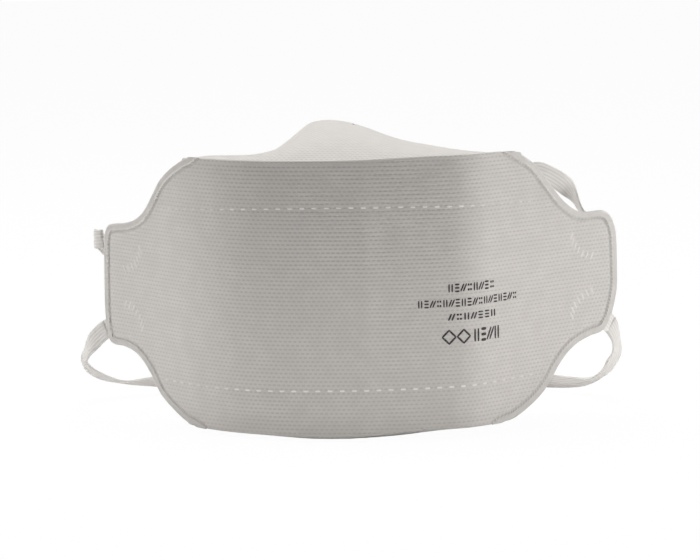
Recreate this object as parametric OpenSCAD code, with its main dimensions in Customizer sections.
// Fold-flat dust mask: three four-ply panels, a nose clip, welds and two elastic head straps.
// It stands partly opened on its chin panel. +X is to a viewer's right, the front faces -Y, +Z is up.

/* [Front panel] */
// Width of the front panel laid flat, from tab end to tab end
flat_w = 214; // [208:1:218]
// Height of the front panel, between its two folds
panel_h = 94; // [90:1:98]
// Length of each fold, between the panel's corners
fold_w = 122; // [116:1:126]
// Height of the bottom fold above the table
fold_z = 2; // [2:0.5:4]

/* [Curve seen from above] */
// Radius of the nearly flat middle
middle_r = 175; // [150:5:200]
// Half length of the middle, along the cloth
middle_half = 21; // [18:1:24]
// Radius of the shoulders
shoulder_r = 60; // [56:1:64]
// Angle that each wing turns back by
wing_angle = 42; // [40:1:44]

/* [Ear tabs] */
// Length of a tab, along the cloth
tab_len = 19.5; // [18:0.5:21]
// Height of a tab where it leaves the panel
tab_root_h = 48; // [46:1:50]
// Height of a tab at its outer corners
tab_tip_h = 42; // [40:1:44]
// Radius of a tab's outer corners
tab_corner_r = 6; // [4:1:8]

/* [Nose and chin panels] */
// Height of the nose panel's free edge at the middle
nose_top_z = 105; // [102:1:108]
// Height of the nose panel's free edge at its ends
nose_end_z = 60; // [58:1:62]
// Height of the chin panel's free edge at its ends
chin_end_z = 38; // [36:1:40]
// Distance of the free edges behind the tab ends
edge_back = 2.8; // [2:0.2:4]
// Clear gap behind the front panel
fold_gap = 0.5; // [0.4:0.1:0.8]

/* [Plies] */
// Thickness of the outer web
outer_t = 0.3; // [0.2:0.05:0.4]
// Thickness of each filter ply
filter_t = 0.4; // [0.3:0.05:0.5]
// Thickness of the inner web
inner_t = 0.3; // [0.2:0.05:0.4]

/* [Welds] */
// Width of the weld along the side edges
rim_w = 2.9; // [2.5:0.1:3.5]
// Distance of each stitch weld from its fold
stitch_inset = 16.5; // [15:0.5:18]
// Spacing of the stitch weld's dashes
dash_pitch = 4.14; // [4:0.02:4.3]
// Length of one dash
dash_len = 1.9; // [1.6:0.1:2.2]

/* [Straps and nose piece] */
// Width of the elastic straps
strap_w = 6.8; // [6:0.2:8]
// Thickness of the elastic straps
strap_t = 0.9; // [0.8:0.1:1]
// Thickness of the nose clip
clip_t = 0.9; // [0.7:0.1:1]
// Thickness of the nose foam
foam_t = 3; // [2:0.5:4]

/* [Hidden] */
$fn = 64;
web_colour = [0.88, 0.87, 0.85];
filter_colour = [0.95, 0.95, 0.93];
weld_colour = [0.96, 0.96, 0.95];
strap_colour = [0.93, 0.93, 0.92];

// The stack of plies: how deep each ply starts and ends behind the outer face
panel_t = outer_t + 2 * filter_t + inner_t;
ply_depths = [0, outer_t, outer_t + filter_t, outer_t + 2 * filter_t, panel_t];
mid_z = fold_z + panel_h / 2;
half_w = flat_w / 2;

// The plan curve: a middle arc, then a shoulder arc and a straight wing on each side
middle_turn = middle_half / middle_r * 180 / PI;
shoulder_len = (wing_angle - middle_turn) * PI / 180 * shoulder_r;
wing_start = middle_half + shoulder_len;
wing_len = half_w - wing_start;
shoulder_x = (middle_r - shoulder_r) * sin(middle_turn);
plan_depth = middle_r * (1 - cos(middle_turn)) + shoulder_r * (cos(middle_turn) - cos(wing_angle))
    + wing_len * sin(wing_angle);
front_y = -(plan_depth + edge_back) / 2;
middle_y = front_y + middle_r;
shoulder_y = middle_y - (middle_r - shoulder_r) * cos(middle_turn);

// Angle of the cloth and place of a point, s along the cloth from the middle and d behind its outer face
function turn_at(s) = sign(s) * (abs(s) <= middle_half ? abs(s) / middle_r * 180 / PI
    : abs(s) <= wing_start ? middle_turn + (abs(s) - middle_half) / shoulder_r * 180 / PI : wing_angle);
function middle_point(a, d) = [(middle_r - d) * sin(a), middle_y - (middle_r - d) * cos(a)];
function shoulder_point(a, d) = [shoulder_x + (shoulder_r - d) * sin(a), shoulder_y - (shoulder_r - d) * cos(a)];
function right_point(s, d) = let (a = turn_at(s))
    s <= middle_half ? middle_point(a, d)
    : shoulder_point(a, d) + max(0, s - wing_start) * [cos(a), sin(a)];
function plan_point(s, d) = let (p = right_point(abs(s), d)) [s < 0 ? -p.x : p.x, p.y];

// Rounded outline of one side, in flat cloth sizes: [distance from the middle, height above the middle]
root_s = half_w - tab_len;
side_corners = [[fold_w / 2, panel_h / 2], [root_s, tab_root_h / 2], [root_s + 4, tab_tip_h / 2 + 0.6],
    [half_w - 0.8, tab_tip_h / 2], [half_w, tab_tip_h / 2 - 6]];
side_radii = [0, 6, 8, tab_corner_r, 12];
function unit(v) = v / norm(v);
function arc_corner(a, c, b, r, steps = 4) = r == 0 ? [c] : let (
    u = unit(a - c), w = unit(b - c), half = acos(u * w) / 2,
    reach = min(r / tan(half), norm(a - c) * 0.45, norm(b - c) * 0.45), radius = reach * tan(half),
    centre = c + unit(u + w) * radius / sin(half))
    [for (i = [0:steps]) let (m = unit(c + (u * (steps - i) + w * i) / steps * reach - centre)) centre + m * radius];
function rounded_side() = let (n = len(side_corners) - 1) [for (i = [0:n])
    each i == 0 || i == n ? [side_corners[i]]
        : arc_corner(side_corners[i - 1], side_corners[i], side_corners[i + 1], side_radii[i])];
upper_side = rounded_side();
whole_side = concat(upper_side, [for (i = [len(upper_side) - 1:-1:0]) [upper_side[i].x, -upper_side[i].y]]);
// The same side moved inwards by the width of the weld
function inward(p, before, after) = let (
    u = unit(p - before), w = unit(after - p), n = unit([u.y + w.y, -u.x - w.x]))
    p + n * rim_w / max(0.5, n * [u.y, -u.x]);
inner_side = [for (i = [0:len(whole_side) - 1])
    inward(whole_side[i], i == 0 ? [0, panel_h / 2] : whole_side[i - 1],
        i == len(whole_side) - 1 ? [0, -panel_h / 2] : whole_side[i + 1])];
function upright(points) = [for (p = points) [plan_point(p.x, 0).x, mid_z + p.y]];

// The curved sheet, from one depth behind the outer face to another: a chain of narrow flats
shoulder_steps = 14;
middle_steps = 6;
stations = concat(
    [-half_w - 1],
    [for (i = [shoulder_steps:-1:1]) -middle_half - shoulder_len * i / shoulder_steps],
    [for (i = [0:middle_steps]) middle_half * (2 * i / middle_steps - 1)],
    [for (i = [1:shoulder_steps]) middle_half + shoulder_len * i / shoulder_steps],
    [half_w + 1]);
module curved_sheet(d0, d1) {
    outer = [for (s = stations) plan_point(s, d0)];
    inner = [for (s = stations) plan_point(s, d1)];
    translate([0, 0, fold_z]) linear_extrude(height = panel_h)
        polygon(concat(outer, [for (i = [len(inner) - 1:-1:0]) inner[i]]));
}
module cut_through_y(points) {
    rotate([90, 0, 0]) linear_extrude(height = 4 * plan_depth, center = true) polygon(points);
}
module panel_outline() {
    side = upright(whole_side);
    cut_through_y(concat(side, [for (i = [len(side) - 1:-1:0]) [-side[i].x, side[i].y]]));
}
module right_rim() {
    outer = upright(whole_side);
    inner = upright(inner_side);
    cut_through_y(concat(outer, [for (i = [len(inner) - 1:-1:0]) inner[i]]));
}

// Front panel
module front_outer_web() {
    color(web_colour) intersection() {
        curved_sheet(ply_depths[0], ply_depths[1]);
        panel_outline();
    }
}
module front_ply(k) {
    difference() {
        intersection() {
            curved_sheet(ply_depths[k], ply_depths[k + 1]);
            panel_outline();
        }
        right_rim();
        mirror([1, 0, 0]) right_rim();
    }
}
module front_filter_outer() {
    color(filter_colour) front_ply(1);
}
module front_filter_inner() {
    color(filter_colour) front_ply(2);
}
module front_inner_web() {
    color(web_colour) front_ply(3);
}

// Side welds: the plies pressed into one thin rim behind the outer web
rim_t = 0.6;
module right_edge_weld() {
    color(weld_colour) intersection() {
        curved_sheet(outer_t, outer_t + rim_t);
        right_rim();
    }
}
module left_edge_weld() {
    mirror([1, 0, 0]) right_edge_weld();
}

// Stitch welds: rows of short dashes fused through all the plies
dash_h = 0.7;
dash_count = 17;
dash_raise = 0.08;
module stitch_row(z) {
    for (k = [-dash_count:dash_count]) {
        p = plan_point(k * dash_pitch, 0);
        translate([p.x, p.y, z]) rotate([0, 0, turn_at(k * dash_pitch)])
            translate([-dash_len / 2, -dash_raise, -dash_h / 2])
                cube([dash_len, dash_raise + panel_t, dash_h]);
    }
}
module upper_stitch_weld() {
    color(weld_colour) stitch_row(fold_z + panel_h - stitch_inset);
}
module lower_stitch_weld() {
    color(weld_colour) stitch_row(fold_z + stitch_inset);
}

// Everything on a wing is drawn flat, x along the cloth from the wing's start, y behind the outer face
module on_right_wing() {
    p = plan_point(wing_start, 0);
    translate([p.x, p.y, mid_z]) rotate([0, 0, wing_angle]) children();
}
// Tab backing: the ends of the nose and chin panels, pressed thin behind the tab
backing_t = 0.6;
backing_from = root_s - wing_start;
backing_to = half_w - 1 - wing_start;
backing_h = 36;
module right_tab_backing() {
    color(web_colour) on_right_wing()
        translate([backing_from, panel_t, -backing_h / 2])
            cube([backing_to - backing_from, backing_t, backing_h]);
}
module left_tab_backing() {
    mirror([1, 0, 0]) right_tab_backing();
}

// Strap ends: welded slanting behind the tab, pointing to its outer corners
end_slant = 30;
end_len = 15;
end_exit_x = half_w - 0.4 - wing_start;
upper_exit_h = 13.5;
lower_exit_h = -17.5;
end_depth = panel_t + backing_t;
module right_strap_end(exit_h) {
    color(strap_colour) on_right_wing()
        translate([end_exit_x, end_depth, exit_h]) rotate([0, -sign(exit_h) * end_slant, 0])
            translate([-end_len, 0, -strap_w / 2]) cube([end_len, strap_t, strap_w]);
}
module upper_strap_right_end() {
    right_strap_end(upper_exit_h);
}
module upper_strap_left_end() {
    mirror([1, 0, 0]) right_strap_end(upper_exit_h);
}
module lower_strap_right_end() {
    right_strap_end(lower_exit_h);
}
module lower_strap_left_end() {
    mirror([1, 0, 0]) right_strap_end(lower_exit_h);
}

// Strap welds: slanted bars along a quarter of an ellipse, fused through the tab and its backing
bar_count = 7;
bar_turn = 13;
bar_centre = [root_s + 9.5 - wing_start, 15];
bar_reach = [10.5, 8.8];
bar_len = 3.2;
bar_w = 1;
bar_lean = 32;
module right_strap_weld(side) {
    color(weld_colour) on_right_wing() for (k = [0:bar_count - 1]) {
        a = 6 + k * bar_turn;
        x = bar_centre.x - bar_reach.x * cos(a);
        z = bar_centre.y - bar_reach.y * sin(a);
        translate([x, -dash_raise, side * z]) rotate([0, side * bar_lean, 0])
            translate([-bar_w / 2, 0, -bar_len / 2]) cube([bar_w, dash_raise + end_depth, bar_len]);
    }
}
module upper_right_strap_weld() {
    right_strap_weld(1);
}
module upper_left_strap_weld() {
    mirror([1, 0, 0]) right_strap_weld(1);
}
module lower_right_strap_weld() {
    right_strap_weld(-1);
}
module lower_left_strap_weld() {
    mirror([1, 0, 0]) right_strap_weld(-1);
}

// Nose and chin panels: shells drawn between a seam on the front panel and a free edge.
// u runs from -1 at the left end to 1 at the right end, v from 0 at the seam to 1 at the free edge.
columns = 28;
nose_rows = [0, 0.12, 0.26, 0.4, 0.54, 0.66, 0.74, 0.8, 0.9, 0.96, 1];
chin_rows = [0, 0.12, 0.26, 0.4, 0.55, 0.7, 0.85, 1];
tuck_power = 4;
function seam_depth(u) = panel_t + fold_gap + panel_t * pow(abs(u), tuck_power);
seam_end_s = root_s - 3;
edge_end_x = plan_point(seam_end_s, 0).x - 1;
edge_end_y = plan_point(seam_end_s, seam_depth(1)).y + 2;
free_y = -front_y;
hump_h = 9;
hump_half = 20;
slope = (panel_h - tab_root_h) / 2 / (root_s - fold_w / 2);
function seam_drop(s) = max(0, abs(s) - fold_w / 2) * slope;
function seam(u, dir) = let (s = u * seam_end_s, p = plan_point(s, seam_depth(u)))
    [p.x, p.y, mid_z + dir * (panel_h / 2 - seam_drop(s))];
function edge_y(u) = edge_end_y + (free_y - edge_end_y) * (1 - pow(abs(u), 4));
function nose_edge(u) = let (x = u * edge_end_x) [x, edge_y(u), nose_end_z
    + (nose_top_z - hump_h - nose_end_z) * pow(1 - u * u, 0.8) + hump_h * exp(-pow(x / hump_half, 2))];
chin_sink = 5;
function chin_edge(u) = [u * edge_end_x, edge_y(u), chin_end_z - (chin_end_z + chin_sink) * pow(1 - u * u, 0.9)];
nose_crown = 3;
chin_crown = 2.5;
function nose_point(u, v) = seam(u, 1) * (1 - v) + nose_edge(u) * v
    + [0, 0, nose_crown * sin(180 * v) * (1 - u * u)];
function chin_point(u, v) = let (p = seam(u, -1) * (1 - v) + chin_edge(u) * v
    - [0, 0, chin_crown * sin(180 * v) * (1 - u * u)]) [p.x, p.y, max(0, p.z)];
function shell_point(dir, u, v) = dir > 0 ? nose_point(u, v) : chin_point(u, v);
step = 0.01;
function shell_inward(dir, u, v) = let (
    along = shell_point(dir, min(1, u + step), v) - shell_point(dir, max(-1, u - step), v),
    across = shell_point(dir, u, min(1, v + step)) - shell_point(dir, u, max(0, v - step)))
    -dir * unit(cross(along, across));
function sunk(dir, u, v, depth) = shell_point(dir, u, v) + shell_inward(dir, u, v) * depth;

// A closed sheet over a grid of u and v, from one depth to another
module shell(dir, us, vs, outer_depth, inner_depth) {
    nu = len(us);
    nv = len(vs);
    at = function (layer, i, j) (layer * nu + i) * nv + j;
    points = concat(
        [for (u = us) for (v = vs) sunk(dir, u, v, outer_depth(u, v))],
        [for (u = us) for (v = vs) sunk(dir, u, v, inner_depth(u, v))]);
    skins = [for (layer = [0, 1]) for (i = [0:nu - 2]) for (j = [0:nv - 2]) let (
        a = at(layer, i, j), b = at(layer, i + 1, j), c = at(layer, i + 1, j + 1), d = at(layer, i, j + 1))
        each layer == 0 ? [[a, b, c], [a, c, d]] : [[a, c, b], [a, d, c]]];
    u_edges = [for (j = [0, nv - 1]) for (i = [0:nu - 2]) let (
        a = at(0, i, j), b = at(0, i + 1, j), c = at(1, i + 1, j), d = at(1, i, j))
        each j == 0 ? [[a, c, b], [a, d, c]] : [[a, b, c], [a, c, d]]];
    v_edges = [for (i = [0, nu - 1]) for (j = [0:nv - 2]) let (
        a = at(0, i, j), b = at(0, i, j + 1), c = at(1, i, j + 1), d = at(1, i, j))
        each i == 0 ? [[a, b, c], [a, c, d]] : [[a, c, b], [a, d, c]]];
    faces = concat(skins, u_edges, v_edges);
    polyhedron(points, dir > 0 ? [for (f = faces) [f[0], f[2], f[1]]] : faces);
}
all_columns = [for (i = [0:columns]) -1 + 2 * i / columns];

// The clip lies in a pocket between the inner filter ply and the inner web
clip_columns = [for (u = all_columns) if (abs(u) < 0.58) u];
clip_rows = [0.8, 0.9];
foam_rows = [0.74, 0.8, 0.9, 0.96];
function pocket(u, v) = abs(u) < 0.58 && v > 0.79 && v < 0.91 ? clip_t : 0;

module plain_ply(dir, rows, k) {
    shell(dir, all_columns, rows, function (u, v) ply_depths[k], function (u, v) ply_depths[k + 1]);
}
module nose_outer_web() {
    color(web_colour) plain_ply(1, nose_rows, 0);
}
module nose_filter_outer() {
    color(filter_colour) plain_ply(1, nose_rows, 1);
}
module nose_filter_inner() {
    color(filter_colour) plain_ply(1, nose_rows, 2);
}
module nose_inner_web() {
    color(web_colour) shell(1, all_columns, nose_rows,
        function (u, v) ply_depths[3] + pocket(u, v), function (u, v) panel_t + pocket(u, v));
}
module nose_clip() {
    color([0.78, 0.79, 0.8]) shell(1, clip_columns, clip_rows,
        function (u, v) ply_depths[3], function (u, v) ply_depths[3] + clip_t);
}
module nose_foam() {
    color([0.9, 0.9, 0.86]) shell(1, clip_columns, foam_rows,
        function (u, v) panel_t + pocket(u, v), function (u, v) panel_t + clip_t + foam_t);
}
module chin_outer_web() {
    color(web_colour) plain_ply(-1, chin_rows, 0);
}
module chin_filter_outer() {
    color(filter_colour) plain_ply(-1, chin_rows, 1);
}
module chin_filter_inner() {
    color(filter_colour) plain_ply(-1, chin_rows, 2);
}
module chin_inner_web() {
    color(web_colour) plain_ply(-1, chin_rows, 3);
}

// Straps: each route runs from the left tab to the right one, as [x, y, z] and the way its width faces
upper_route = [
    [[-90.1, 26.2, 63.1], [0, 0, 9]], [[-91.9, 27.3, 62.8], [0, 0, 9]], [[-93.6, 29.2, 62.5], [0, 0, 9]],
    [[-94.4, 33.4, 62.2], [0, 0, 9]], [[-94.2, 39, 61], [0, 0, 9]], [[-92.2, 46, 57.5], [1, 0, 8]],
    [[-88, 53, 53], [1, 1, 8]], [[-81.5, 60, 47.5], [1, 2, 8]], [[-73.5, 66.5, 41], [1, 2, 8]],
    [[-64, 72.5, 34], [1, 2, 8]], [[-54, 77.5, 26.5], [1, 2, 8]], [[-43, 81.5, 19], [1, 2, 8]],
    [[-31, 85, 12.5], [1, 1, 8]], [[-18.5, 87.5, 8], [0, 0, 8]], [[-6, 89, 5.5], [0, 0, 8]],
    [[6.5, 89, 5.5], [0, 0, 8]], [[18, 87.5, 8.5], [-1, 0, 8]], [[28, 85, 13.5], [-2, 1, 8]],
    [[37, 81.5, 20.5], [-3, 1, 7]], [[44.5, 78, 29], [-4, 1, 7]], [[50.5, 73.5, 38.5], [-5, 1, 6]],
    [[55, 68.5, 48.5], [-6, 0, 5]], [[57.6, 64.6, 58.5], [-7, 0, 5]], [[59, 61.8, 68], [-7, 0, 5]],
    [[60.2, 59, 76.5], [-5, 0, 8]], [[62.2, 55.6, 81], [-1, 0, 9]], [[65.2, 52, 82.4], [3, 0, 8.5]],
    [[68.1, 48.5, 81.8], [4.6, 0, 8.4]], [[70.9, 44.8, 80.7], [5.4, 0, 8.2]],
    [[73.6, 41.3, 79.2], [6, -1, 7.8]], [[75.8, 38.4, 77.5], [6, -5, 6]],
    [[77.5, 36.8, 75.2], [4.6, -8.4, 3.2]], [[78.8, 36.2, 72.6], [2.8, -9.4, 1.6]],
    [[80.3, 36.2, 69.9], [2, -9.4, 1.6]], [[82.7, 36.2, 67.4], [0, -8, 5]],
    [[85.9, 35.4, 65.4], [-1, -4, 8]], [[88.8, 33.2, 64.2], [-2, -2, 9]], [[90.6, 30.1, 63.7], [-3, -2, 9]],
    [[90.8, 27.4, 63.4], [-3, -2, 9]], [[89.9, 25.8, 63.1], [-4, -3, 9]]
];
lower_route = [
    [[-89.9, 25.8, 30.6], [4, -3, -9]], [[-92, 27.5, 29], [4.5, -3.5, -8]],
    [[-95.3, 30.2, 25.7], [5.5, -4.5, -6]], [[-98.2, 33.5, 22], [4, -8, -3]],
    [[-100, 37.2, 18], [2.8, -9.4, 1]], [[-99.9, 41, 14.3], [3.8, -8.8, 2.4]],
    [[-97.9, 45, 10.6], [4.4, -8, 3.4]], [[-93.9, 48.8, 7.6], [2.6, -8.6, 3.6]],
    [[-88, 52.4, 5.6], [0.6, -9.3, 3]], [[-79.8, 56, 5], [0, -8, 5.8]], [[-69.5, 59.4, 4.8], [0, -4, 9.2]],
    [[-57.5, 62.4, 4.7], [0, -1.6, 9]], [[-44, 64.5, 4.5], [0, -0.4, 9]], [[-30, 66, 4.2], [0, 0, 9]],
    [[-15, 67, 4], [0, 0, 9]], [[0, 67, 4], [0, 0, 9]], [[15, 66.5, 4], [0, 0, 9]],
    [[29, 65.5, 4], [0, -0.4, 9]], [[42, 64, 4], [0, -1.4, 9]], [[54, 61.5, 4], [0, -3, 9]],
    [[64, 58.6, 3.9], [0, -4.6, 8.8]], [[72.5, 55, 3.9], [0, -6.4, 7.6]], [[79.6, 50.7, 4.6], [0, -8, 5.8]],
    [[85.4, 45.8, 6.9], [-0.4, -9.2, 3.6]], [[89.4, 41, 10.8], [-1.8, -9, 4]],
    [[91.6, 36.6, 15.9], [-3.6, -8.4, 4]], [[92.4, 32.6, 20.4], [-3.2, -9.2, 2]],
    [[92.2, 29.6, 24.6], [-3.6, -9, 0.6]], [[91.1, 27.2, 28.3], [-4.6, -6, -4]],
    [[89.9, 25.8, 30.4], [-4, -3, -9]]
];
band_sides = 8;
function band_ring(route, i) = let (
    last = len(route) - 1, along = unit(route[min(last, i + 1)][0] - route[max(0, i - 1)][0]),
    wide = route[i][1], across = unit(wide - (wide * along) * along), out = cross(along, across))
    [for (k = [0:band_sides - 1]) let (a = 360 * (k + 0.5) / band_sides, edge = 1 / cos(180 / band_sides))
        route[i][0] + across * cos(a) * edge * strap_w / 2 + out * sin(a) * edge * strap_t / 2];
module band(route) {
    n = len(route);
    points = [for (i = [0:n - 1]) each band_ring(route, i)];
    around = [for (i = [0:n - 2]) for (k = [0:band_sides - 1]) let (
        a = i * band_sides + k, b = i * band_sides + (k + 1) % band_sides)
        each [[a, b, b + band_sides], [a, b + band_sides, a + band_sides]]];
    ends = [[for (k = [band_sides - 1:-1:0]) k], [for (k = [0:band_sides - 1]) (n - 1) * band_sides + k]];
    polyhedron(points, [for (f = concat(around, ends)) [for (k = [len(f) - 1:-1:0]) f[k]]]);
}
module upper_strap() {
    color(strap_colour) band(upper_route);
}
module lower_strap() {
    color(strap_colour) band(lower_route);
}

front_outer_web();
front_filter_outer();
front_filter_inner();
front_inner_web();
nose_outer_web();
nose_filter_outer();
nose_filter_inner();
nose_inner_web();
chin_outer_web();
chin_filter_outer();
chin_filter_inner();
chin_inner_web();
nose_clip();
nose_foam();
left_edge_weld();
right_edge_weld();
upper_stitch_weld();
lower_stitch_weld();
left_tab_backing();
right_tab_backing();
upper_strap_left_end();
upper_strap_right_end();
lower_strap_left_end();
lower_strap_right_end();
upper_left_strap_weld();
upper_right_strap_weld();
lower_left_strap_weld();
lower_right_strap_weld();
upper_strap();
lower_strap();
